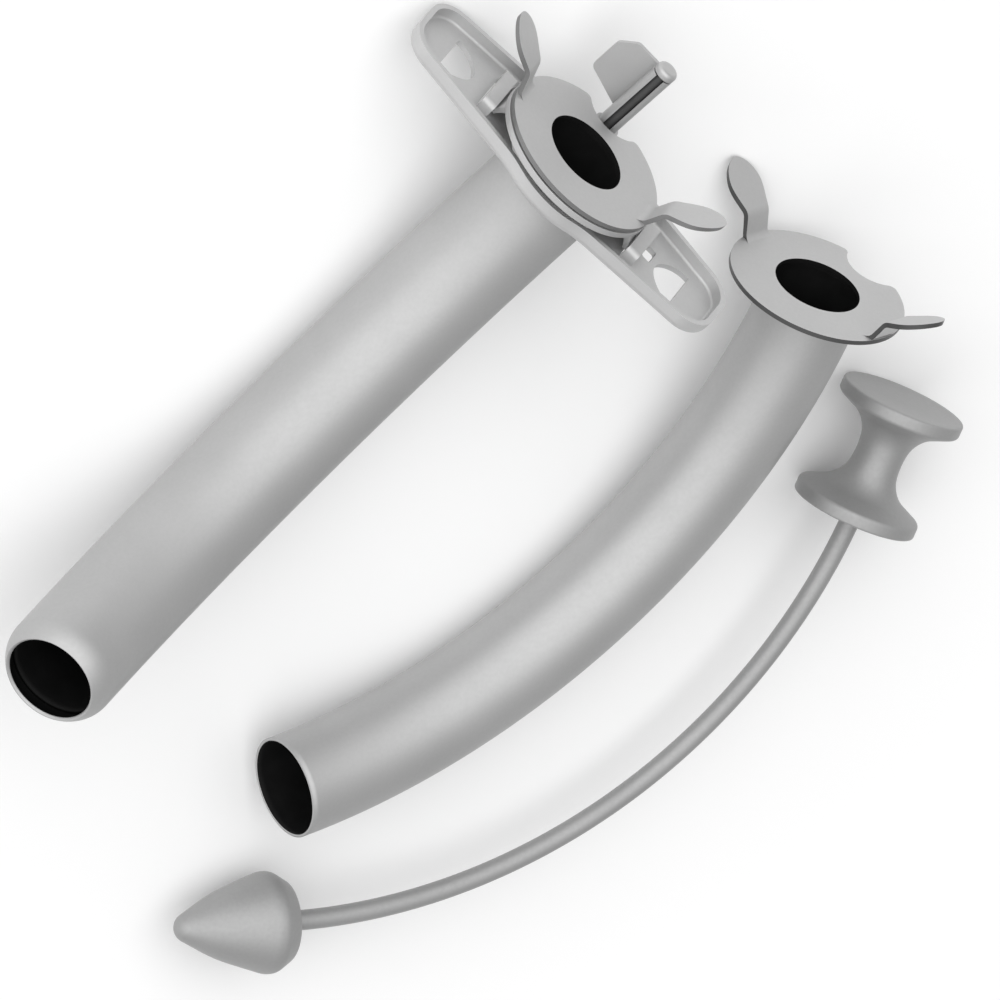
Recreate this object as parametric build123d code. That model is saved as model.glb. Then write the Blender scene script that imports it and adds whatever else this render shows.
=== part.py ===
"""Metal tracheostomy tube with its spare inner tube and its obturator, laid out on a table.

Every tube follows one circle, so that the inner tube slides out of the outer one by turning
about the centre of that circle. Each piece is drawn in a bench frame first: the mouth of the
tube at the origin, Z out of the mouth, Y towards the lock and X along the neck plate. The
three groups are then laid on the table as they come to rest.
"""
import os
from math import acos, cos, degrees, radians, sin

from build123d import *

# Tubes: one bend for all of them
BEND_RADIUS = 62.0          # from the centre of the circle to the middle of the tube
OUTER_BEND_ANGLE = 73.0     # degrees of the circle that the outer tube covers
OUTER_TUBE_DIAMETER = 12.0
OUTER_WALL = 0.4
RUNNING_GAP = 0.25          # between inner and outer tube, all round
INNER_WALL = 0.3
INNER_TUBE_NOSE_DEPTH = 0.8 # the inner tube goes this far into the outer tube's nose
NOSE_RADIUS = 4.0           # rounding of the outer tube's tip
NOSE_DROP = 1.0             # how far the tip's outer surface closes in

# Collar plate on the outer tube
COLLAR_RADIUS = 9.6
COLLAR_THICKNESS = 0.7
COLLAR_SCALLOP_GAP = 0.2    # the collar's scallop stands back this far from the flange's
LUG_RADIUS = 1.5            # rounded lug in the scallop, under the lock
WING_ROOT_X = 7.9           # the wings start inside the collar's edge
WING_BEND_X = 8.4           # here they turn down towards the neck plate
WING_FLAT_X = 9.4           # from here they lie flat again
WING_TIP_X = 10.95
WING_ROOT_WIDTH = 10.4
WING_TIP_WIDTH = 5.2
WING_THICKNESS = 0.5
WING_GAP = 0.25             # above and below the wing, under its bridge

# Neck plate: one pressed sheet
PLATE_LENGTH = 42.4
PLATE_END_WIDTH = 9.2
PLATE_TAPER_WIDTH = 15.5    # the tapered ends would be this wide at the middle
PLATE_END_RADIUS = 3.6
PLATE_MIDDLE_RADIUS = 8.5
PLATE_BLEND_RADIUS = 9.0
PLATE_SHEET = 0.6
PLATE_RIM_HEIGHT = 1.95
PLATE_FOLD_RADIUS = 0.9     # outside of the fold between floor and rim
PLATE_RIM_GAP = 0.65        # from the rim to the back of the collar
PLATE_HOLE_GAP = 0.9        # round the outer tube
PLATE_ROCK_LIMIT = 3.0      # degrees to each side of level
TIE_SLOT_EDGE_X = 16.8      # the straight edge of the slot
TIE_SLOT_DEPTH = 3.5
TIE_SLOT_WIDTH = 6.0
TIE_SLOT_SHOULDER_DEPTH_SHARE = 0.62
TIE_SLOT_SHOULDER_WIDTH_SHARE = 0.76
BRIDGE_X = 10.5
BRIDGE_WIDTH = 1.5
BRIDGE_SPAN = 7.6           # over its two feet
BRIDGE_LEAN = 0.45          # how far each leg leans in
BRIDGE_CORNER_RADIUS = 0.5
RELIEF_HOLE_X = 12.05       # small hole beside one bridge, where the lancing tool went through
RELIEF_HOLE_Y = 0.8
RELIEF_HOLE_WIDTH = 1.1
RELIEF_HOLE_LENGTH = 2.2

# Flange and ears of the inner tube
FLANGE_RADIUS = 9.5
FLANGE_THICKNESS = 0.5
FLANGE_GAP = 0.2            # between the flange and the collar
FLANGE_HOLE_RADIUS = 4.6
SCALLOP_RADIUS = 3.4
SCALLOP_CENTRE_Y = 10.1
SCALLOP_CORNER_RADIUS = 0.7
SPARE_FLANGE_TURN = 12.0    # degrees: the spare flange was soldered on askew
EAR_ROOT_X = 7.8
EAR_ROOT_WIDTH = 4.8
EAR_NECK_X = 10.0
EAR_NECK_WIDTH = 3.5
EAR_PADDLE_X = 12.7
EAR_PADDLE_WIDTH = 4.7
EAR_TIP_X = 14.9
EAR_STEP_X = 9.0            # the ear bends up here
EAR_STEP_RISE = 2.7
EAR_STEP_RUN = 1.0
EAR_TIP_RISE = 6.5
EAR_BEND_RADIUS = 1.2

# Lock on the collar
LOCK_Y = 8.5
POST_DIAMETER = 1.5
POST_HEAD_DIAMETER = 2.4
POST_HEAD_HEIGHT = 0.9
POST_HEAD_ROUNDING_SHARE = 0.48
KEY_DIAMETER = 2.4
KEY_HEIGHT = 8.5
KEY_BORE_GAP = 0.12         # round the post
KEY_END_GAP = 0.12          # below and above the key
KEY_SLOT_WIDTH = 1.0
KEY_WING_REACH = 5.5
KEY_WING_TOP = 8.3
KEY_WING_BOTTOM = 1.0       # at the sleeve
KEY_WING_THICKNESS = 0.5
KEY_WING_TOP_CUT = 1.6      # the slanted upper corner
KEY_WING_BOTTOM_RISE = 1.7  # from the sleeve out to the lower corner
KEY_WING_CORNER_RADIUS = 0.8
KEY_FOOT_REACH = 2.3
KEY_FOOT_WIDTH = 2.0
KEY_FOOT_THICKNESS = 0.5
KEY_FOOT_GAP = 0.2          # above the flange

# Obturator
ROD_DIAMETER = 2.1
OLIVE_GAP = 0.3             # between the olive and the outer tube's bore
OLIVE_LENGTH = 12.7
OLIVE_BACK_LENGTH = 2.4     # the rounded back, behind the widest place
OLIVE_BACK_DIAMETER = 7.6
OLIVE_POINT_RADIUS = 1.5
OLIVE_SEAT_DEPTH = 1.85     # from the end of the bend back to the olive's flat back
SPOOL_DIAMETER = 13.4
SPOOL_LENGTH = 13.0
SPOOL_RIM = 1.4
SPOOL_WAIST = 5.4
SPOOL_DISH = 0.45           # depth of the dished end faces
SOCKET_DEPTH = 3.0          # the rod's ends sit this deep in the olive and the spool

# Rest on the table. Rise: how far the mouth looks up. Roll: how far the group leans over.
# Heading: which way it points. Angles in degrees, places from the middle of the layout.
ASSEMBLY_RISE = 27.5
ASSEMBLY_ROLL = 34.73
ASSEMBLY_HEADING = 331.11
ASSEMBLY_X = -2.06
ASSEMBLY_Y = 44.1
SPARE_RISE = 14.16
SPARE_ROLL = 75.82
SPARE_HEADING = 349.97
SPARE_X = 27.67
SPARE_Y = 25.71
OBTURATOR_RISE = 0.0
OBTURATOR_ROLL = 91.81
OBTURATOR_HEADING = 339.57
OBTURATOR_X = 37.53
OBTURATOR_Y = -2.3

OVERRUN = 1.0               # how far cutting tools stand past what they cut

OUTER_RADIUS = OUTER_TUBE_DIAMETER / 2
BORE_RADIUS = OUTER_RADIUS - OUTER_WALL
INNER_RADIUS = BORE_RADIUS - RUNNING_GAP
INNER_BEND_ANGLE = OUTER_BEND_ANGLE + degrees(INNER_TUBE_NOSE_DEPTH / BEND_RADIUS)
FLANGE_LIFT_ANGLE = degrees(FLANGE_GAP / BEND_RADIUS)
NOSE_ANGLE = degrees(acos(1 - NOSE_DROP / NOSE_RADIUS))
ROD_BEND_ANGLE = OUTER_BEND_ANGLE - degrees(OLIVE_SEAT_DEPTH / BEND_RADIUS)
PLATE_TOP = -COLLAR_THICKNESS - PLATE_RIM_GAP
PLATE_BACK = PLATE_TOP - PLATE_RIM_HEIGHT
PLATE_FRONT = PLATE_BACK + PLATE_SHEET
WING_MIDDLE = PLATE_FRONT + WING_GAP + WING_THICKNESS / 2
BRIDGE_UNDERSIDE = PLATE_FRONT + WING_THICKNESS + 2 * WING_GAP
BEND_AXIS = Axis((0, -BEND_RADIUS, 0), (-1, 0, 0))
HINGE_AXIS = Axis((0, 0, WING_MIDDLE), (1, 0, 0))


def bend_plane(angle):
    """The plane across the bend at an angle from the mouth, its Z along the tube."""
    turn = radians(angle)
    place = (0, BEND_RADIUS * (cos(turn) - 1), -BEND_RADIUS * sin(turn))
    return Plane(origin=place, x_dir=(1, 0, 0), z_dir=(0, -sin(turn), -cos(turn)))


def bent_bar(radius, angle, start=0.0):
    """A round bar along the bend."""
    return revolve(bend_plane(start) * Circle(radius), BEND_AXIS, angle)


def outer_tube():
    """The bent tube with its nose spun in."""
    tube = bent_bar(OUTER_RADIUS, OUTER_BEND_ANGLE) - bent_bar(BORE_RADIUS, OUTER_BEND_ANGLE)
    turn = radians(NOSE_ANGLE)
    inside = NOSE_RADIUS - OUTER_WALL
    hub = OUTER_RADIUS - NOSE_RADIUS
    half = turn / 2
    outline = [
        ThreePointArc(
            (hub + NOSE_RADIUS, 0),
            (hub + NOSE_RADIUS * cos(half), NOSE_RADIUS * sin(half)),
            (hub + NOSE_RADIUS * cos(turn), NOSE_RADIUS * sin(turn)),
        ),
        Line(
            (hub + NOSE_RADIUS * cos(turn), NOSE_RADIUS * sin(turn)),
            (hub + inside * cos(turn), inside * sin(turn)),
        ),
        ThreePointArc(
            (hub + inside * cos(turn), inside * sin(turn)),
            (hub + inside * cos(half), inside * sin(half)),
            (hub + inside, 0),
        ),
        Line((hub + inside, 0), (hub + NOSE_RADIUS, 0)),
    ]
    nose = revolve(Plane.XZ * make_face(outline), Axis.Z)
    return tube + bend_plane(OUTER_BEND_ANGLE) * nose


def collar_wing():
    """One wing of the collar, on the +X side, stepped down to pass under its bridge."""
    low = WING_MIDDLE - WING_THICKNESS / 2
    high = WING_MIDDLE + WING_THICKNESS / 2
    side = Polygon(
        (WING_ROOT_X, -COLLAR_THICKNESS),
        (WING_BEND_X, -COLLAR_THICKNESS),
        (WING_FLAT_X, low),
        (WING_TIP_X, low),
        (WING_TIP_X, high),
        (WING_FLAT_X + COLLAR_THICKNESS / 2, high),
        (WING_BEND_X + COLLAR_THICKNESS / 2, 0),
        (WING_ROOT_X, 0),
        align=None,
    )
    root = WING_ROOT_WIDTH / 2
    tip = WING_TIP_WIDTH / 2
    bridge_edge = BRIDGE_X - BRIDGE_WIDTH / 2
    flank = Spline(
        (WING_ROOT_X, root),
        (bridge_edge, tip),
        tangents=[(root, -WING_ROOT_X), (1, 0)],
    )
    plan = make_face(
        [
            flank,
            Polyline((bridge_edge, tip), (WING_TIP_X, tip), (WING_TIP_X, -tip), (bridge_edge, -tip)),
            mirror(flank, Plane.XZ),
            Line((WING_ROOT_X, -root), (WING_ROOT_X, root)),
        ]
    )
    step = extrude(Plane.XZ * side, WING_ROOT_WIDTH, both=True)
    return step & extrude(plan, PLATE_RIM_HEIGHT + PLATE_RIM_GAP + COLLAR_THICKNESS, both=True)


def scalloped_disc(radius, scallop_radius):
    """A round face with the scallop that passes the lock, its two corners rounded."""
    face = Circle(radius) - Pos(0, SCALLOP_CENTRE_Y) * Circle(scallop_radius)
    return fillet(face.vertices().sort_by(Axis.Y)[-2:], SCALLOP_CORNER_RADIUS)


def outer_collar():
    """The soldered plate round the mouth, with a wing to each side and the lock's lug."""
    face = scalloped_disc(COLLAR_RADIUS, SCALLOP_RADIUS + COLLAR_SCALLOP_GAP)
    lug = Pos(0, LOCK_Y) * Circle(LUG_RADIUS)
    neck = Pos(0, (LOCK_Y + OUTER_RADIUS) / 2) * Rectangle(2 * LUG_RADIUS, LOCK_Y - OUTER_RADIUS)
    disc = extrude(face + lug + neck, -COLLAR_THICKNESS)
    wing = collar_wing()
    plate = disc + wing + mirror(wing, Plane.YZ)
    reach = degrees(2 * COLLAR_THICKNESS / BEND_RADIUS)
    return plate - bent_bar(OUTER_RADIUS, 2 * reach, -reach)


def plate_outline(inset):
    """The neck plate's outline, brought in by the inset."""
    half = PLATE_LENGTH / 2
    ends = Polygon(
        (-half, -PLATE_END_WIDTH / 2),
        (0, -PLATE_TAPER_WIDTH / 2),
        (half, -PLATE_END_WIDTH / 2),
        (half, PLATE_END_WIDTH / 2),
        (0, PLATE_TAPER_WIDTH / 2),
        (-half, PLATE_END_WIDTH / 2),
        align=None,
    )
    ends = fillet(ends.vertices().filter_by(lambda v: abs(v.X) > half / 2), PLATE_END_RADIUS)
    outline = ends + Circle(PLATE_MIDDLE_RADIUS)
    joins = outline.vertices().filter_by(lambda v: 0 < abs(v.X) < PLATE_MIDDLE_RADIUS)
    outline = fillet(joins, PLATE_BLEND_RADIUS)
    return offset(outline, -inset) if inset else outline


def tie_slot():
    """The D-shaped tape slot on the +X side, its straight edge outwards."""
    shoulder_x = TIE_SLOT_EDGE_X - TIE_SLOT_DEPTH * TIE_SLOT_SHOULDER_DEPTH_SHARE
    shoulder_y = TIE_SLOT_WIDTH / 2 * TIE_SLOT_SHOULDER_WIDTH_SHARE
    curve = Spline(
        (TIE_SLOT_EDGE_X, -TIE_SLOT_WIDTH / 2),
        (shoulder_x, -shoulder_y),
        (TIE_SLOT_EDGE_X - TIE_SLOT_DEPTH, 0),
        (shoulder_x, shoulder_y),
        (TIE_SLOT_EDGE_X, TIE_SLOT_WIDTH / 2),
    )
    edge = Line((TIE_SLOT_EDGE_X, TIE_SLOT_WIDTH / 2), (TIE_SLOT_EDGE_X, -TIE_SLOT_WIDTH / 2))
    return make_face([curve, edge])


def bridge():
    """One bridge lanced up out of the floor, over the +X wing of the collar."""
    top = BRIDGE_UNDERSIDE + PLATE_SHEET
    foot = BRIDGE_SPAN / 2
    inner_foot = foot - PLATE_SHEET
    arch = Polygon(
        (-foot, PLATE_BACK),
        (foot, PLATE_BACK),
        (foot, PLATE_FRONT),
        (foot - BRIDGE_LEAN, top),
        (BRIDGE_LEAN - foot, top),
        (-foot, PLATE_FRONT),
        align=None,
    )
    tops = arch.vertices().filter_by(lambda v: v.Y > BRIDGE_UNDERSIDE)
    arch = fillet(tops, BRIDGE_CORNER_RADIUS + PLATE_SHEET / 2)
    opening = Polygon(
        (-inner_foot, PLATE_BACK - OVERRUN),
        (inner_foot, PLATE_BACK - OVERRUN),
        (inner_foot, PLATE_FRONT),
        (inner_foot - BRIDGE_LEAN, BRIDGE_UNDERSIDE),
        (BRIDGE_LEAN - inner_foot, BRIDGE_UNDERSIDE),
        (-inner_foot, PLATE_FRONT),
        align=None,
    )
    side = Plane(origin=(BRIDGE_X, 0, 0), x_dir=(0, 1, 0), z_dir=(1, 0, 0))
    strip = extrude(side * arch, BRIDGE_WIDTH / 2, both=True)
    return strip, extrude(side * opening, BRIDGE_WIDTH / 2, both=True)


def level_plate():
    """The neck plate before it rocks: floor, rim, hole, slots and bridges in one sheet."""
    tray = extrude(plate_outline(0), PLATE_RIM_HEIGHT)
    tray = fillet(tray.faces().sort_by(Axis.Z)[0].edges(), PLATE_FOLD_RADIUS)
    inside = extrude(plate_outline(PLATE_SHEET), PLATE_RIM_HEIGHT)
    inside = fillet(inside.faces().sort_by(Axis.Z)[0].edges(), PLATE_FOLD_RADIUS - PLATE_SHEET)
    sheet = Pos(0, 0, PLATE_BACK) * (tray - Pos(0, 0, PLATE_SHEET) * inside)
    strip, opening = bridge()
    slot = Pos(0, 0, PLATE_BACK) * extrude(tie_slot(), PLATE_RIM_HEIGHT, both=True)
    hole = Cylinder(OUTER_RADIUS + PLATE_HOLE_GAP, 4 * PLATE_RIM_HEIGHT)
    sheet = sheet - Pos(0, 0, PLATE_BACK) * hole
    for side in (strip, mirror(strip, Plane.YZ)):
        sheet = sheet + side
    relief = RectangleRounded(RELIEF_HOLE_WIDTH, RELIEF_HOLE_LENGTH, RELIEF_HOLE_WIDTH / 4)
    relief = Pos(RELIEF_HOLE_X, RELIEF_HOLE_Y, PLATE_BACK) * extrude(relief, PLATE_SHEET, both=True)
    for cut in (opening, mirror(opening, Plane.YZ), slot, mirror(slot, Plane.YZ), relief):
        sheet = sheet - cut
    return sheet


def neck_plate():
    """The neck plate as it lies, rocked until its upper rim nears the collar."""
    return level_plate().rotate(HINGE_AXIS, PLATE_ROCK_LIMIT)


def lock_post():
    """The post on the collar, with a domed head that keeps the key on."""
    shank_height = 2 * KEY_END_GAP + KEY_HEIGHT
    shank = extrude(Circle(POST_DIAMETER / 2), shank_height)
    head = extrude(Circle(POST_HEAD_DIAMETER / 2), POST_HEAD_HEIGHT)
    rounding = POST_HEAD_HEIGHT * POST_HEAD_ROUNDING_SHARE
    head = fillet(head.faces().sort_by(Axis.Z)[-1].edges(), rounding)
    return Pos(0, LOCK_Y, 0) * (shank + Pos(0, 0, shank_height) * head)


def lock_key():
    """The slotted sleeve on the post, with its thumb wing and the foot that holds the flange."""
    bore = POST_DIAMETER / 2 + KEY_BORE_GAP
    foot_bottom = FLANGE_GAP + FLANGE_THICKNESS + KEY_FOOT_GAP
    sleeve = extrude(Circle(KEY_DIAMETER / 2), KEY_HEIGHT)
    wing_face = Polygon(
        (0, KEY_WING_BOTTOM),
        (-KEY_WING_REACH, KEY_WING_BOTTOM + KEY_WING_BOTTOM_RISE),
        (-KEY_WING_REACH, KEY_WING_TOP - KEY_WING_TOP_CUT),
        (KEY_WING_TOP_CUT - KEY_WING_REACH, KEY_WING_TOP),
        (0, KEY_WING_TOP),
        align=None,
    )
    outer = wing_face.vertices().filter_by(lambda v: v.X < -KEY_DIAMETER)
    wing_face = fillet(outer, KEY_WING_CORNER_RADIUS)
    wing = Pos(0, KEY_DIAMETER / 2, 0) * extrude(Plane.XZ * wing_face, KEY_WING_THICKNESS)
    foot = Pos(0, KEY_FOOT_REACH / 2, 0) * Box(
        KEY_FOOT_WIDTH,
        KEY_FOOT_REACH,
        KEY_FOOT_THICKNESS,
        align=(Align.CENTER, Align.CENTER, Align.MIN),
    )
    ends = foot.edges().filter_by(Axis.Z).group_by(Axis.Y)[-1]
    foot = fillet(ends, KEY_FOOT_WIDTH / 4)
    key = sleeve + wing + Pos(0, 0, foot_bottom - KEY_END_GAP) * foot
    key = key - extrude(Circle(bore), KEY_HEIGHT)
    slot = Pos(0, -KEY_DIAMETER / 2, KEY_HEIGHT / 2) * Box(KEY_SLOT_WIDTH, KEY_DIAMETER, KEY_HEIGHT)
    return Pos(0, LOCK_Y, KEY_END_GAP) * (key - slot)


def inner_tube():
    """The thin bent tube, its mouth at the back of the flange."""
    return bent_bar(INNER_RADIUS, INNER_BEND_ANGLE) - bent_bar(
        INNER_RADIUS - INNER_WALL, INNER_BEND_ANGLE
    )


def ear():
    """One ear of the flange, on the +X side, stepped up and flared out again."""
    plan = make_face(
        [
            Spline(
                (EAR_ROOT_X, -EAR_ROOT_WIDTH / 2),
                (EAR_NECK_X, -EAR_NECK_WIDTH / 2),
                (EAR_PADDLE_X, -EAR_PADDLE_WIDTH / 2),
                (EAR_TIP_X, 0),
                (EAR_PADDLE_X, EAR_PADDLE_WIDTH / 2),
                (EAR_NECK_X, EAR_NECK_WIDTH / 2),
                (EAR_ROOT_X, EAR_ROOT_WIDTH / 2),
            ),
            Line((EAR_ROOT_X, EAR_ROOT_WIDTH / 2), (EAR_ROOT_X, -EAR_ROOT_WIDTH / 2)),
        ]
    )
    path = FilletPolyline(
        (EAR_ROOT_X, 0),
        (EAR_STEP_X, 0),
        (EAR_STEP_X + EAR_STEP_RUN, EAR_STEP_RISE),
        (EAR_TIP_X + OVERRUN, EAR_TIP_RISE),
        radius=EAR_BEND_RADIUS,
    )
    ribbon = offset(path, FLANGE_THICKNESS / 2, side=Side.BOTH, kind=Kind.INTERSECTION)
    bent = Pos(0, 0, FLANGE_THICKNESS / 2) * extrude(
        Plane.XZ * make_face(ribbon.edges()), EAR_ROOT_WIDTH, both=True
    )
    return bent & extrude(plan, 2 * EAR_TIP_RISE, both=True)


def inner_flange():
    """The flange, with a scallop that passes the lock and an ear to each side."""
    face = scalloped_disc(FLANGE_RADIUS, SCALLOP_RADIUS) - Circle(FLANGE_HOLE_RADIUS)
    disc = extrude(face, FLANGE_THICKNESS)
    side = ear()
    return disc + side + mirror(side, Plane.YZ)


def obturator_rod():
    """The thin bent rod, its ends let into the spool and the olive."""
    socket = degrees(SOCKET_DEPTH / BEND_RADIUS)
    return bent_bar(ROD_DIAMETER / 2, ROD_BEND_ANGLE + 2 * socket, -socket)


def obturator_tip():
    """The cone-shaped olive that fills the outer tube's tip."""
    wide = BORE_RADIUS - OLIVE_GAP
    cone_rise = OLIVE_LENGTH - OLIVE_POINT_RADIUS
    outline = [
        Line((0, 0), (OLIVE_BACK_DIAMETER / 2, 0)),
        Spline(
            (OLIVE_BACK_DIAMETER / 2, 0),
            (wide, OLIVE_BACK_LENGTH),
            tangents=[(1, 0), (0, 1)],
        ),
        Spline(
            (wide, OLIVE_BACK_LENGTH),
            (OLIVE_POINT_RADIUS, cone_rise),
            (0, OLIVE_LENGTH),
            tangents=[(0, 1), (-1, 0)],
        ),
        Line((0, OLIVE_LENGTH), (0, 0)),
    ]
    olive = bend_plane(ROD_BEND_ANGLE) * revolve(Plane.XZ * make_face(outline), Axis.Z)
    return olive - obturator_rod()


def obturator_handle():
    """The turned spool on the rod's near end."""
    rim = SPOOL_DIAMETER / 2
    waist = SPOOL_WAIST / 2
    dish = rim - SPOOL_RIM / 2
    outline = [
        Polyline((0, SPOOL_DISH), (dish, 0), (rim, 0), (rim, SPOOL_RIM)),
        ThreePointArc((rim, SPOOL_RIM), (waist, SPOOL_LENGTH / 2), (rim, SPOOL_LENGTH - SPOOL_RIM)),
        Polyline(
            (rim, SPOOL_LENGTH - SPOOL_RIM),
            (rim, SPOOL_LENGTH),
            (dish, SPOOL_LENGTH),
            (0, SPOOL_LENGTH - SPOOL_DISH),
            (0, SPOOL_DISH),
        ),
    ]
    return revolve(Plane.XZ * make_face(outline), Axis.Z) - obturator_rod()


def assembly_pieces():
    """The tube put together: inner tube in the outer one, lock open."""
    return {
        "outer_tube": outer_tube(),
        "outer_collar": outer_collar(),
        "neck_plate": neck_plate(),
        "lock_post": lock_post(),
        "lock_key": lock_key(),
        "inner_tube": inner_tube().rotate(BEND_AXIS, -FLANGE_LIFT_ANGLE),
        "inner_flange": inner_flange().rotate(BEND_AXIS, -FLANGE_LIFT_ANGLE),
    }


def spare_pieces():
    """The second inner tube, its flange soldered on askew as the photograph shows it."""
    flange = Rot(0, 0, SPARE_FLANGE_TURN) * inner_flange()
    return {"spare_inner_tube": inner_tube(), "spare_inner_flange": flange}


def obturator_pieces():
    """The obturator's three pieces."""
    return {
        "obturator_rod": obturator_rod(),
        "obturator_tip": obturator_tip(),
        "obturator_handle": obturator_handle(),
    }


def laid(pieces, rise, roll, heading, x, y):
    """A group laid on the table: leaned over, tipped back, turned and set down."""
    turn = Rot(0, 0, heading) * Rot(rise - 90, 0, 0) * Rot(0, 0, -roll)
    bottom = min((turn * shape).bounding_box().min.Z for shape in pieces.values())
    place = Pos(x, y, -bottom) * turn
    return {name: place * shape for name, shape in pieces.items()}, place


def main():
    os.makedirs("parts", exist_ok=True)
    groups = [
        laid(
            assembly_pieces(),
            ASSEMBLY_RISE,
            ASSEMBLY_ROLL,
            ASSEMBLY_HEADING,
            ASSEMBLY_X,
            ASSEMBLY_Y,
        ),
        laid(spare_pieces(), SPARE_RISE, SPARE_ROLL, SPARE_HEADING, SPARE_X, SPARE_Y),
        laid(
            obturator_pieces(),
            OBTURATOR_RISE,
            OBTURATOR_ROLL,
            OBTURATOR_HEADING,
            OBTURATOR_X,
            OBTURATOR_Y,
        ),
    ]
    pieces = {name: shape for group, _ in groups for name, shape in group.items()}
    boxes = [shape.bounding_box() for shape in pieces.values()]
    middle_x = (min(box.min.X for box in boxes) + max(box.max.X for box in boxes)) / 2
    middle_y = (min(box.min.Y for box in boxes) + max(box.max.Y for box in boxes)) / 2
    centring = Pos(-middle_x, -middle_y, 0)
    for name, shape in pieces.items():
        export_step(centring * shape, f"parts/{name}.step")
    return centring, [place for _, place in groups]


CENTRING, PLACES = main()
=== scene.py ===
from math import acos, cos, pi, radians, sin

import bmesh
import bpy
import numpy as np
from mathutils import Matrix, Vector


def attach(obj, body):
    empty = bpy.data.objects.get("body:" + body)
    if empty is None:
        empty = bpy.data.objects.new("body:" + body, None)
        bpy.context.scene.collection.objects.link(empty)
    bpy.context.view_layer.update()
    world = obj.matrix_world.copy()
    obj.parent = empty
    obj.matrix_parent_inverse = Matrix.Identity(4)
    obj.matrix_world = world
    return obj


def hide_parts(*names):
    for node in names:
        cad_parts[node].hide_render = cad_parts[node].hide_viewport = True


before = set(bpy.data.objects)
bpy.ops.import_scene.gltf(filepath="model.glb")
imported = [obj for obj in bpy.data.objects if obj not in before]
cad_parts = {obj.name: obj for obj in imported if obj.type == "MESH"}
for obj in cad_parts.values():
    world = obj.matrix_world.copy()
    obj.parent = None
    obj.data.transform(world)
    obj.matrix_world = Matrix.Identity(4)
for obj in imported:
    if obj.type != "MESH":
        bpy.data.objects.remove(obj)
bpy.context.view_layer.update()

# Table and camera.
# The set lies on a plain white table, and a long lens looks down on it. Sizes and places are in
# millimetres from here on, and turned into metres on the way into Blender.
MM = 0.001
CAMERA_PLACE = (-850.257, 777.257, 1647.47)
CAMERA_RIGHT = (0.900419, 0.090896, 0.425421)
CAMERA_UP = (0.090896, 0.917031, -0.38832)
CAMERA_BACK = (-0.425421, 0.38832, 0.81745)
LENS_PIXELS = 19660.0
FRAME_PIXELS = 1000.0
SENSOR = 36.0
LENS_REACH = (0.1, 50.0)       # metres
TABLE_COLOUR = (0.93, 0.93, 0.93, 1.0)
TABLE_ROUGHNESS = (0.85, 0.95)
TABLE_SHINE = 0.1
TABLE_MOTTLE = 300.0           # to the metre
TABLE_HALF = 4000.0

scene = bpy.context.scene
scene.view_settings.view_transform = "Standard"

lens = bpy.data.cameras.new("camera")
lens.sensor_width = SENSOR
lens.lens = SENSOR * LENS_PIXELS / FRAME_PIXELS
lens.clip_start, lens.clip_end = LENS_REACH
camera = bpy.data.objects.new("camera", lens)
scene.collection.objects.link(camera)
turn = Matrix((CAMERA_RIGHT, CAMERA_UP, CAMERA_BACK)).transposed()
camera.matrix_world = Matrix.Translation(Vector(CAMERA_PLACE) * MM) @ turn.to_4x4()
scene.camera = camera


def table_top():
    """A flat square, level with the set's lowest points."""
    corners = TABLE_HALF * MM * np.array([(-1, -1, 0), (1, -1, 0), (1, 1, 0), (-1, 1, 0)], float)
    mesh = bpy.data.meshes.new("table")
    mesh.from_pydata(corners.tolist(), [], [(0, 1, 2, 3)])
    thing = bpy.data.objects.new("table", mesh)
    scene.collection.objects.link(thing)
    return thing


def table_finish():
    """Matt white board with the faintest mottle."""
    paint = bpy.data.materials.new("white_table")
    paint.use_nodes = True
    tree = paint.node_tree
    shader = tree.nodes["Principled BSDF"]
    place = tree.nodes.new("ShaderNodeTexCoord")
    mottle = tree.nodes.new("ShaderNodeTexNoise")
    mottle.inputs["Scale"].default_value = TABLE_MOTTLE
    tree.links.new(place.outputs["Object"], mottle.inputs["Vector"])
    rough = tree.nodes.new("ShaderNodeMapRange")
    rough.inputs["To Min"].default_value = TABLE_ROUGHNESS[0]
    rough.inputs["To Max"].default_value = TABLE_ROUGHNESS[1]
    tree.links.new(mottle.outputs["Fac"], rough.inputs["Value"])
    tree.links.new(rough.outputs["Result"], shader.inputs["Roughness"])
    shader.inputs["Base Color"].default_value = TABLE_COLOUR
    shader.inputs["Specular IOR Level"].default_value = TABLE_SHINE
    return paint


table = table_top()
table.data.materials.append(table_finish())

# Light.
# One broad soft light faces the set from just in front of the lens, which sees through its back,
# and the room around is a mid grey, so that the tubes show a pale middle and darker flanks. What
# the lens sees past the table is white.
ROOM_STRENGTH = 0.55
SEEN_STRENGTH = 1.0
LAMP_PLACE = (-808.3, 737.8, 1553.2)
LAMP_SIZE = 4000.0
LAMP_WATTS = 60.0
WHITE = (1.0, 1.0, 1.0, 1.0)

light = bpy.data.lights.new("broad_front", "AREA")
light.shape = "SQUARE"
light.size = LAMP_SIZE * MM
light.energy = LAMP_WATTS
lamp = bpy.data.objects.new("broad_front", light)
lamp.location = Vector(LAMP_PLACE) * MM
lamp.rotation_mode = "QUATERNION"
lamp.rotation_quaternion = (-Vector(LAMP_PLACE)).to_track_quat("-Z", "Y")
scene.collection.objects.link(lamp)

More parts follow.
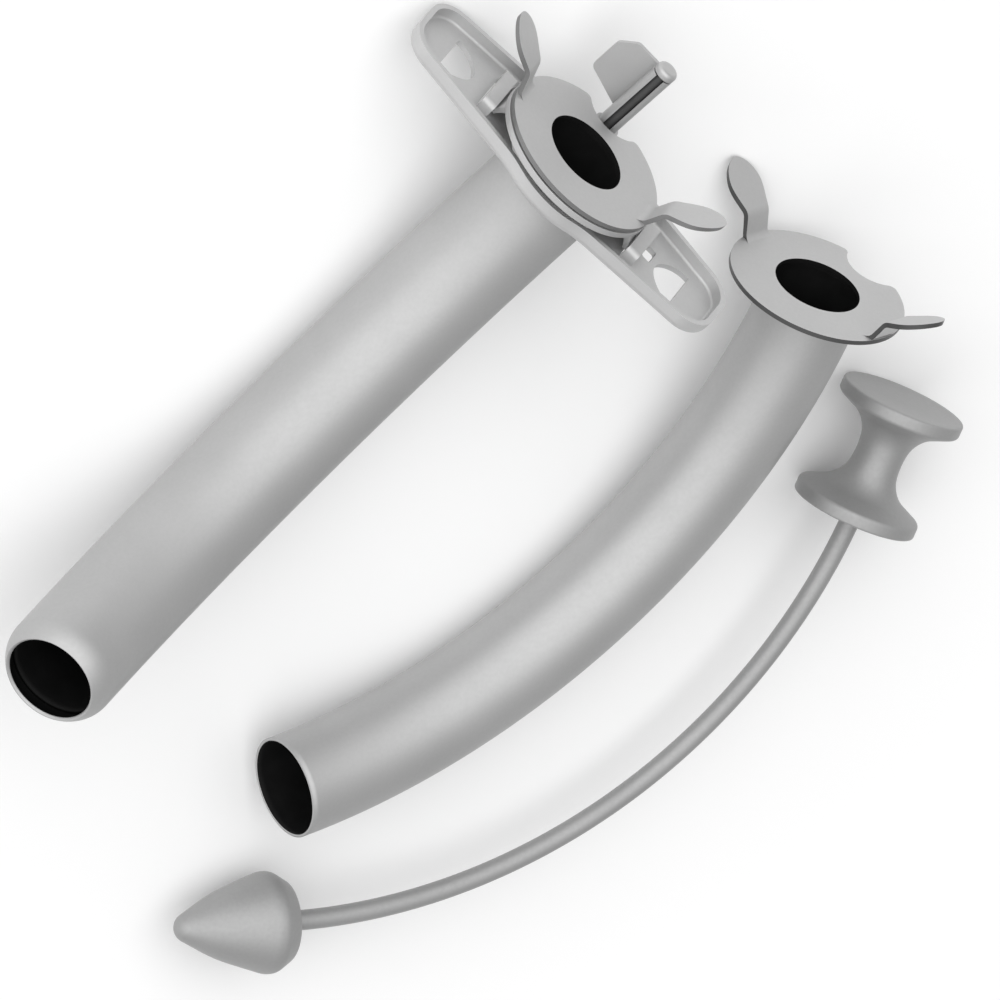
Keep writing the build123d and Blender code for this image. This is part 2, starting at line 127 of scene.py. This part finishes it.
world = bpy.data.worlds.new("room")
scene.world = world
world.use_nodes = True
room_tree = world.node_tree
room = room_tree.nodes["Background"]
room.inputs["Color"].default_value = WHITE
room.inputs["Strength"].default_value = ROOM_STRENGTH
seen = room_tree.nodes.new("ShaderNodeBackground")
seen.inputs["Color"].default_value = WHITE
seen.inputs["Strength"].default_value = SEEN_STRENGTH
ray = room_tree.nodes.new("ShaderNodeLightPath")
either = room_tree.nodes.new("ShaderNodeMixShader")
room_tree.links.new(ray.outputs["Is Camera Ray"], either.inputs["Fac"])
room_tree.links.new(room.outputs["Background"], either.inputs[1])
room_tree.links.new(seen.outputs["Background"], either.inputs[2])
room_tree.links.new(either.outputs["Shader"], room_tree.nodes["World Output"].inputs["Surface"])

# Outer tube.
# A thin-walled plated brass tube, drawn and bent to one circle, its tip spun in to a rounded
# nose so that it doesn't scrape. It is satin outside; the inside is painted dark as shade.
BEND_RADIUS = 62.0
OUTER_BEND = 73.0
OUTER_RADIUS = 6.0
OUTER_WALL = 0.4
NOSE_RADIUS = 4.0
NOSE_DROP = 1.0
AROUND = 144                   # points to a ring
BEND_RINGS = 121
NOSE_RINGS = 16
LIP_RINGS = 4
LIP_BULGE_SHARE = 0.25         # of the wall
JOIN = 1e-7                    # metres: points this near are merged
TUBE_COLOUR = (0.48, 0.48, 0.48)
TUBE_ROUGHNESS = 0.55
METALLIC = 0.8
GRAIN = 2600.0                 # to the metre
GRAIN_DETAIL = 3.0
GRAIN_SPAN = (0.25, 0.75)      # noise from here to here takes all of the spread in roughness
GRAIN_BUMP = 0.12
GRAIN_HEIGHT = 0.00002         # metres
ROUGHNESS_SPREAD = 0.05
PATCHES = 95.0                 # to the metre
PATCH_DETAIL = 4.0
PATCH_SPAN = (0.3, 0.7)        # and from here to here, all of the spread in tone
TARNISH = 400.0                # to the metre
# Painted shade: the bore is coloured near black and given little shine.
BORE_SHINE = 0.1
BORE_ROUGHNESS = 0.6
BORE_DARK = (0.004, 0.004, 0.004, 1.0)
BORE_PALE = (0.013, 0.013, 0.013, 1.0)


def laid(rise, roll, heading, mouth):
    """Bench to table: lean over by the roll, tip back to the rise, turn, and set down."""
    move = Matrix.Rotation(radians(heading), 4, "Z") @ Matrix.Rotation(radians(rise - 90), 4, "X")
    move = Matrix.Translation(Vector(mouth)) @ move @ Matrix.Rotation(radians(-roll), 4, "Z")
    return np.array(move)


ASSEMBLED = laid(27.5, 34.73, 331.11, (5.0656, 38.7454, 14.304))


def along_bend(run, radius, straight_from):
    """Rings of a radius, set square to the bend.

    A ring's centre goes along the circle by its run, and straight on past straight_from.
    Point = centre + radius * (cos(t) * sideways + sin(t) * away from the circle's middle).
    """
    run = np.asarray(run, float)
    radius = np.asarray(radius, float)
    on_arc = np.minimum(run, straight_from)
    past = run - on_arc
    angle = on_arc / BEND_RADIUS
    zero = np.zeros_like(angle)
    ahead = np.stack([zero, -np.sin(angle), -np.cos(angle)], 1)
    away = np.stack([zero, np.cos(angle), -np.sin(angle)], 1)
    middle = np.stack([zero, BEND_RADIUS * (np.cos(angle) - 1), -BEND_RADIUS * np.sin(angle)], 1)
    middle = middle + past[:, None] * ahead
    t = np.linspace(0, 2 * pi, AROUND, endpoint=False)
    side = np.array([1.0, 0.0, 0.0])
    ring = np.cos(t)[None, :, None] * side + np.sin(t)[None, :, None] * away[:, None, :]
    return middle[:, None, :] + radius[:, None, None] * ring


def skin(name, rings, move, closed=False, second=()):
    """Joins rings of points into one smooth skin, and takes it from the bench to the table.

    A closed skin joins its last ring to its first; an open one begins and ends in rings of no
    radius, which become points. The rows of faces in second take the piece's second material.
    """
    rows, around = rings.shape[:2]
    points = rings.reshape(-1, 3) @ move[:3, :3].T + move[:3, 3]
    row = np.arange(rows if closed else rows - 1)[:, None]
    col = np.arange(around)[None, :]
    below = (row + 1) % rows
    beside = (col + 1) % around
    corners = (
        row * around + col,
        row * around + beside,
        below * around + beside,
        below * around + col,
    )
    quads = np.stack(np.broadcast_arrays(*corners), -1).reshape(-1, 4)
    mesh = bpy.data.meshes.new(name)
    mesh.from_pydata((points * MM).tolist(), [], quads.tolist())
    which = np.zeros((len(row), around), np.int32)
    which[list(second)] = 1
    mesh.polygons.foreach_set("material_index", which.ravel())
    work = bmesh.new()
    work.from_mesh(mesh)
    bmesh.ops.remove_doubles(work, verts=work.verts, dist=JOIN)
    bmesh.ops.recalc_face_normals(work, faces=work.faces)
    work.to_mesh(mesh)
    work.free()
    mesh.polygons.foreach_set("use_smooth", np.ones(len(mesh.polygons), bool))
    thing = bpy.data.objects.new(name, mesh)
    scene.collection.objects.link(thing)
    return thing


def steel(name, colour, roughness, cloud=0.03):
    """Satin metal: a fine grain in roughness and bump, and faint cloudy patches."""
    metal = bpy.data.materials.new(name)
    metal.use_nodes = True
    tree = metal.node_tree
    shader = tree.nodes["Principled BSDF"]
    shader.inputs["Metallic"].default_value = METALLIC
    place = tree.nodes.new("ShaderNodeTexCoord")
    fine = tree.nodes.new("ShaderNodeTexNoise")
    fine.inputs["Scale"].default_value = GRAIN
    fine.inputs["Detail"].default_value = GRAIN_DETAIL
    tree.links.new(place.outputs["Object"], fine.inputs["Vector"])
    patch = tree.nodes.new("ShaderNodeTexNoise")
    patch.inputs["Scale"].default_value = PATCHES
    patch.inputs["Detail"].default_value = PATCH_DETAIL
    tree.links.new(place.outputs["Object"], patch.inputs["Vector"])
    tone = tree.nodes.new("ShaderNodeMapRange")
    tone.inputs["From Min"].default_value = PATCH_SPAN[0]
    tone.inputs["From Max"].default_value = PATCH_SPAN[1]
    tone.inputs["To Min"].default_value = 1.0 - cloud
    tone.inputs["To Max"].default_value = 1.0 + cloud
    tree.links.new(patch.outputs["Fac"], tone.inputs["Value"])
    shade = tree.nodes.new("ShaderNodeVectorMath")
    shade.operation = "SCALE"
    shade.inputs[0].default_value = colour
    tree.links.new(tone.outputs["Result"], shade.inputs["Scale"])
    tree.links.new(shade.outputs["Vector"], shader.inputs["Base Color"])
    rough = tree.nodes.new("ShaderNodeMapRange")
    rough.inputs["From Min"].default_value = GRAIN_SPAN[0]
    rough.inputs["From Max"].default_value = GRAIN_SPAN[1]
    rough.inputs["To Min"].default_value = roughness - ROUGHNESS_SPREAD
    rough.inputs["To Max"].default_value = roughness + ROUGHNESS_SPREAD
    tree.links.new(fine.outputs["Fac"], rough.inputs["Value"])
    tree.links.new(rough.outputs["Result"], shader.inputs["Roughness"])
    bump = tree.nodes.new("ShaderNodeBump")
    bump.inputs["Strength"].default_value = GRAIN_BUMP
    bump.inputs["Distance"].default_value = GRAIN_HEIGHT
    tree.links.new(fine.outputs["Fac"], bump.inputs["Height"])
    tree.links.new(bump.outputs["Normal"], shader.inputs["Normal"])
    return metal


def bore_painted_shade():
    """The inside of a tube, painted nearly black as shade, with cloudy tarnish."""
    dark = bpy.data.materials.new("bore_painted_shade")
    dark.use_nodes = True
    tree = dark.node_tree
    shader = tree.nodes["Principled BSDF"]
    shader.inputs["Specular IOR Level"].default_value = BORE_SHINE
    shader.inputs["Roughness"].default_value = BORE_ROUGHNESS
    place = tree.nodes.new("ShaderNodeTexCoord")
    patch = tree.nodes.new("ShaderNodeTexNoise")
    patch.inputs["Scale"].default_value = TARNISH
    tree.links.new(place.outputs["Object"], patch.inputs["Vector"])
    tone = tree.nodes.new("ShaderNodeValToRGB")
    tone.color_ramp.elements[0].color = BORE_DARK
    tone.color_ramp.elements[1].color = BORE_PALE
    tree.links.new(patch.outputs["Fac"], tone.inputs["Fac"])
    tree.links.new(tone.outputs["Color"], shader.inputs["Base Color"])
    return dark


def nose_arc(radius, start, stop):
    """The nose's rounding: how far on, and how wide, from the end of the bend."""
    angle = np.linspace(start, stop, NOSE_RINGS)
    hub = OUTER_RADIUS - NOSE_RADIUS
    return radius * np.sin(angle), hub + radius * np.cos(angle)


def tube_profile(length):
    """Runs and radii of the outer tube, out along the outside and back through the bore."""
    nose_turn = acos(1 - NOSE_DROP / NOSE_RADIUS)
    bend_runs = np.linspace(0, length, BEND_RINGS)
    out_run, out_radius = nose_arc(NOSE_RADIUS, 0, nose_turn)
    in_run, in_radius = nose_arc(NOSE_RADIUS - OUTER_WALL, nose_turn, 0)
    half_turn = np.linspace(0, pi, LIP_RINGS + 2)[1:-1]
    bulge = np.sin(half_turn) * OUTER_WALL * LIP_BULGE_SHARE
    share = (1 - np.cos(half_turn)) / 2
    lip_run = out_run[-1] + share * (in_run[0] - out_run[-1]) + bulge * sin(nose_turn)
    lip_radius = out_radius[-1] + share * (in_radius[0] - out_radius[-1])
    runs = [bend_runs, length + out_run[1:], length + lip_run, length + in_run, bend_runs[::-1][1:]]
    radii = [
        np.full(BEND_RINGS, OUTER_RADIUS),
        out_radius[1:],
        lip_radius,
        in_radius,
        np.full(BEND_RINGS - 1, OUTER_RADIUS - OUTER_WALL),
    ]
    return np.concatenate(runs), np.concatenate(radii)


outer_length = BEND_RADIUS * radians(OUTER_BEND)
runs, radii = tube_profile(outer_length)
outside = BEND_RINGS + NOSE_RINGS - 1 + LIP_RINGS
# The nose's inner rounding and the bore take the painted shade.
outer_tube = skin(
    "satin_outer_tube",
    along_bend(runs, radii, outer_length),
    ASSEMBLED,
    closed=True,
    second=range(outside, len(runs)),
)
tube_metal = steel("satin_tube", TUBE_COLOUR, TUBE_ROUGHNESS)
bore_shade = bore_painted_shade()
outer_tube.data.materials.append(tube_metal)
outer_tube.data.materials.append(bore_shade)
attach(outer_tube, "outer")
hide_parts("outer_tube")

# Collar and neck plate.
# Both are cut from sheet. The collar is soldered round the tube's mouth, and its two wings run
# under the bridges that are lanced out of the pressed plate, so the plate can rock.
# Painted light: the neck plate is paler than the flange, to lift the shade in its tray.
PLATE_LIFTED_COLOUR = (0.60, 0.60, 0.60)
FLANGE_COLOUR = (0.55, 0.55, 0.55)
SHEET_ROUGHNESS = 0.58
SHEET_CLOUD = 0.02
SHEET_BEVEL = 0.05
BEVEL_SEGMENTS = 2
SHARP = radians(35)
FLAT = radians(0.05)           # faces this near to one plane are merged


def dressed(node, width, move, which=None):
    """A merged copy of a CAD node, its faces evenly shaded and its edges crisp.

    A width above zero breaks the edges with a bevel. A face takes the piece's material numbered
    which(middle, normal), both in the bench's millimetres, or its first.
    """
    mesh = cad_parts[node].data.copy()
    mesh.name = "satin_" + node
    mesh.materials.clear()
    work = bmesh.new()
    work.from_mesh(mesh)
    bmesh.ops.remove_doubles(work, verts=work.verts, dist=JOIN)
    bmesh.ops.dissolve_limit(work, angle_limit=FLAT, verts=work.verts, edges=work.edges)
    for face in work.faces:
        face.smooth = True
        middle = (np.array(face.calc_center_median()) / MM - move[:3, 3]) @ move[:3, :3]
        normal = np.array(face.normal) @ move[:3, :3]
        face.material_index = which(middle, normal) if which else 0
    for edge in work.edges:
        edge.smooth = edge.is_manifold and edge.calc_face_angle() < SHARP
    work.to_mesh(mesh)
    work.free()
    thing = bpy.data.objects.new("satin_" + node, mesh)
    scene.collection.objects.link(thing)
    if width > 0:
        bevel = thing.modifiers.new("broken_edges", "BEVEL")
        bevel.width = width * MM
        bevel.segments = BEVEL_SEGMENTS
        bevel.limit_method = "ANGLE"
        bevel.angle_limit = SHARP
    even = thing.modifiers.new("even_shading", "WEIGHTED_NORMAL")
    even.keep_sharp = True
    return thing


plate_lifted_metal = steel("satin_plate_lifted", PLATE_LIFTED_COLOUR, SHEET_ROUGHNESS, SHEET_CLOUD)
flange_metal = steel("satin_flange", FLANGE_COLOUR, SHEET_ROUGHNESS, SHEET_CLOUD)
for node, body, metal in (
    ("outer_collar", "outer", flange_metal),
    ("neck_plate", "plate", plate_lifted_metal),
):
    piece = dressed(node, SHEET_BEVEL, ASSEMBLED)
    piece.data.materials.append(metal)
    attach(piece, body)
    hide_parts(node)

# Lock.
# A turned post on the collar carries a slotted sleeve with a thumb wing, rolled from one piece of
# sheet. Down the slot, the sleeve's inside and the post's shank are painted dark as shade.
KEY_COLOUR = (0.51, 0.51, 0.51)
# Painted shade: the dark colour down the lock's slot.
SLOT_SHADE_COLOUR = (0.10, 0.10, 0.10)
LOCK_AXIS = (0.0, 8.5)
BORE_REACH = 0.95
HEAD_BOTTOM = 8.7
UPRIGHT = 0.3                  # a face is upright at the bench if its normal's Z is below this
KEY_ROUGHNESS = 0.50
KEY_CLOUD = 0.04
SLOT_SHADE_ROUGHNESS = 0.55
SLOT_SHADE_CLOUD = 0.08
POST_BEVEL = 0.08
KEY_BEVEL = 0.05

key_metal = steel("satin_lock", KEY_COLOUR, KEY_ROUGHNESS, KEY_CLOUD)
slot_shade_metal = steel("lock_slot_shade", SLOT_SHADE_COLOUR, SLOT_SHADE_ROUGHNESS, SLOT_SHADE_CLOUD)


def in_shank(middle, normal):
    """One, the slot's painted shade, on the post's side below its head, or nought."""
    beside = abs(normal[2]) < UPRIGHT and np.hypot(*(middle[:2] - LOCK_AXIS)) < BORE_REACH
    return int(beside and middle[2] < HEAD_BOTTOM)


def in_sleeve(middle, normal):
    """One, the slot's painted shade, on the sleeve's inside, which faces the post, or nought."""
    out = middle[:2] - LOCK_AXIS
    inward = out @ normal[:2] < 0
    return int(np.hypot(*out) < BORE_REACH and abs(normal[2]) < UPRIGHT and inward)


for node, body, width, which in (
    ("lock_post", "outer", POST_BEVEL, in_shank),
    ("lock_key", "lock", KEY_BEVEL, in_sleeve),
):
    piece = dressed(node, width, ASSEMBLED, which)
    piece.data.materials.append(key_metal)
    piece.data.materials.append(slot_shade_metal)
    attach(piece, body)
    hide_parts(node)

# Inner tubes.
# Thinner tubes of the same metal and bend: one sits in the outer tube, and a spare lies beside
# it. The end that stands in the outer tube's nose is painted as dark as the bore: painted shade.
INNER_REACH = 0.8
INNER_RADIUS = 5.35
INNER_WALL = 0.3
FLANGE_GAP = 0.2
SPARE = laid(14.16, 75.82, 349.97, (34.7956, 20.3554, 11.7637))

inner_length = outer_length + INNER_REACH
inner_runs = np.linspace(0, inner_length, BEND_RINGS)
inner_runs = np.concatenate([inner_runs, inner_runs[::-1]])
inner_radii = np.repeat([INNER_RADIUS, INNER_RADIUS - INNER_WALL], BEND_RINGS)
# shade_from: the first row of faces that takes the bore's painted shade.
for name, node, body, lift, move, shade_from in (
    ("satin_inner_tube", "inner_tube", "inner", FLANGE_GAP, ASSEMBLED, BEND_RINGS - 1),
    ("satin_spare_tube", "spare_inner_tube", "outer", 0.0, SPARE, BEND_RINGS),
):
    tube = skin(
        name,
        along_bend(inner_runs - lift, inner_radii, inner_length),
        move,
        closed=True,
        second=range(shade_from, 2 * BEND_RINGS),
    )
    tube.data.materials.append(tube_metal)
    tube.data.materials.append(bore_shade)
    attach(tube, body)
    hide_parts(node)

# Flanges and ears of the inner tubes.
# Each flange is one piece of sheet with its two ears bent up and flared, and its cut edges and
# hole are painted darker than its faces as shade, less so on the fitted flange.
HOLE_REACH = 4.7
# Painted shade: the cut edges' dark colours, lighter on the fitted flange.
DEEP_EDGE_SHADE = (0.11, 0.11, 0.11)
LIGHT_EDGE_SHADE = (0.24, 0.24, 0.24)
EDGE_ROUGHNESS = 0.45
EDGE_CLOUD = 0.05

sheet_edge_shade = steel("sheet_edge_shade", DEEP_EDGE_SHADE, EDGE_ROUGHNESS, EDGE_CLOUD)
fitted_edge_shade = steel("fitted_edge_shade", LIGHT_EDGE_SHADE, EDGE_ROUGHNESS, EDGE_CLOUD)


def at_cut(middle, normal):
    """One on the sheet's cut edges, which stand along the bench's Z, and two in its hole; both take
    painted shade.
    """
    if abs(normal[2]) > UPRIGHT:
        return 0
    return 2 if np.hypot(*middle[:2]) < HOLE_REACH else 1


for node, body, move, edge_metal in (
    ("inner_flange", "inner", ASSEMBLED, fitted_edge_shade),
    ("spare_inner_flange", "outer", SPARE, sheet_edge_shade),
):
    piece = dressed(node, 0.0, move, at_cut)
    piece.data.materials.append(flange_metal)
    piece.data.materials.append(edge_metal)
    piece.data.materials.append(bore_shade)
    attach(piece, body)
    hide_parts(node)

# Obturator.
# A bent solid rod with a turned spool for the fingers on one end and a turned cone-shaped olive
# on the other, all one dull satin.
OBTURATOR_COLOUR = (0.41, 0.41, 0.41)
OBTURATOR_ROUGHNESS = 0.62
ROD_RADIUS = 1.05
ROD_IN_SPOOL = 2.0
OLIVE_SEAT_DEPTH = 1.85
OLIVE_PROFILE = (
    (0.0, 0.0, 0.0), (4.0, 0.0, 1.2), (5.3, 2.0, 1.6), (5.3, 3.0, 2.5), (3.5, 8.2, 20.0),
    (0.94, 12.7, 1.6), (0.0, 12.7, 0.0),
)
SPOOL_PROFILE = (
    (0.0, 0.45, 0.0), (6.0, 0.0, 0.4), (6.7, 0.0, 0.25), (6.7, 1.4, 0.5), (2.8, 3.3, 3.8),
    (2.5, 6.5, 9.0), (2.8, 9.7, 3.8), (6.7, 11.6, 0.5), (6.7, 13.0, 0.25), (6.0, 13.0, 0.4),
    (0.0, 12.55, 0.0),
)
ARC_STEPS = np.linspace(0, 1, 11)
ROD_RINGS = 91
BENCH_Y = np.array([0.0, 1.0, 0.0])
BENCH_Z = np.array([0.0, 0.0, 1.0])
OBTURATOR = laid(0.0, 91.81, 339.57, (44.6556, -7.6546, 6.7036))


def rounded(corners):
    """A profile with each corner (radius, height, rounding) replaced by an arc of that rounding.

    The arc starts and ends at rounding * tan(half the turn) from the corner: point =
    ((1-t)^2 * start + 2t(1-t)w * corner + t^2 * stop) / the same with ones, w = cos(half turn).
    """
    points = np.array([corner[:2] for corner in corners])
    out = [points[0]]
    for before, here, after, corner in zip(points, points[1:], points[2:], corners[1:]):
        back = (before - here) / np.linalg.norm(before - here)
        on = (after - here) / np.linalg.norm(after - here)
        half = (pi - acos(np.clip(back @ on, -1, 1))) / 2
        start = here + back * corner[2] * np.tan(half)
        stop = here + on * corner[2] * np.tan(half)
        for t in ARC_STEPS:
            shares = np.array([(1 - t) ** 2, 2 * t * (1 - t) * cos(half), t * t])
            out.append(shares @ np.array([start, here, stop]) / shares.sum())
    out.append(points[-1])
    return np.array(out)


def turned(profile, centre, ahead, away):
    """Rings of a turned piece: point = centre + height * ahead + radius * (cos(t) * sideways
    + sin(t) * away)."""
    t = np.linspace(0, 2 * pi, AROUND, endpoint=False)
    side = np.array([1.0, 0.0, 0.0])
    ring = np.cos(t)[:, None] * side + np.sin(t)[:, None] * away
    middle = centre + profile[:, 1, None] * ahead
    return middle[:, None, :] + profile[:, 0, None, None] * ring[None]


obturator_metal = steel("satin_obturator", OBTURATOR_COLOUR, OBTURATOR_ROUGHNESS)
rod_length = outer_length - OLIVE_SEAT_DEPTH
rod_runs = np.linspace(-ROD_IN_SPOOL, rod_length, ROD_RINGS)
rod_runs = np.concatenate([[-ROD_IN_SPOOL], rod_runs, [rod_length]])
rod_radii = np.concatenate([[0.0], np.full(ROD_RINGS, ROD_RADIUS), [0.0]])
rod_turn = rod_length / BEND_RADIUS
rod_end = np.array([0.0, BEND_RADIUS * (cos(rod_turn) - 1), -BEND_RADIUS * sin(rod_turn)])
rod_ahead = np.array([0.0, -sin(rod_turn), -cos(rod_turn)])
rod_away = np.array([0.0, cos(rod_turn), -sin(rod_turn)])
rod = along_bend(rod_runs, rod_radii, rod_length)
olive = turned(rounded(OLIVE_PROFILE), rod_end, rod_ahead, rod_away)
spool = turned(rounded(SPOOL_PROFILE), np.zeros(3), BENCH_Z, BENCH_Y)
for name, node, rings in (
    ("satin_obturator_rod", "obturator_rod", rod),
    ("satin_obturator_tip", "obturator_tip", olive),
    ("satin_obturator_handle", "obturator_handle", spool),
):
    piece = skin(name, rings, OBTURATOR)
    piece.data.materials.append(obturator_metal)
    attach(piece, "outer")
    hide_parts(node)
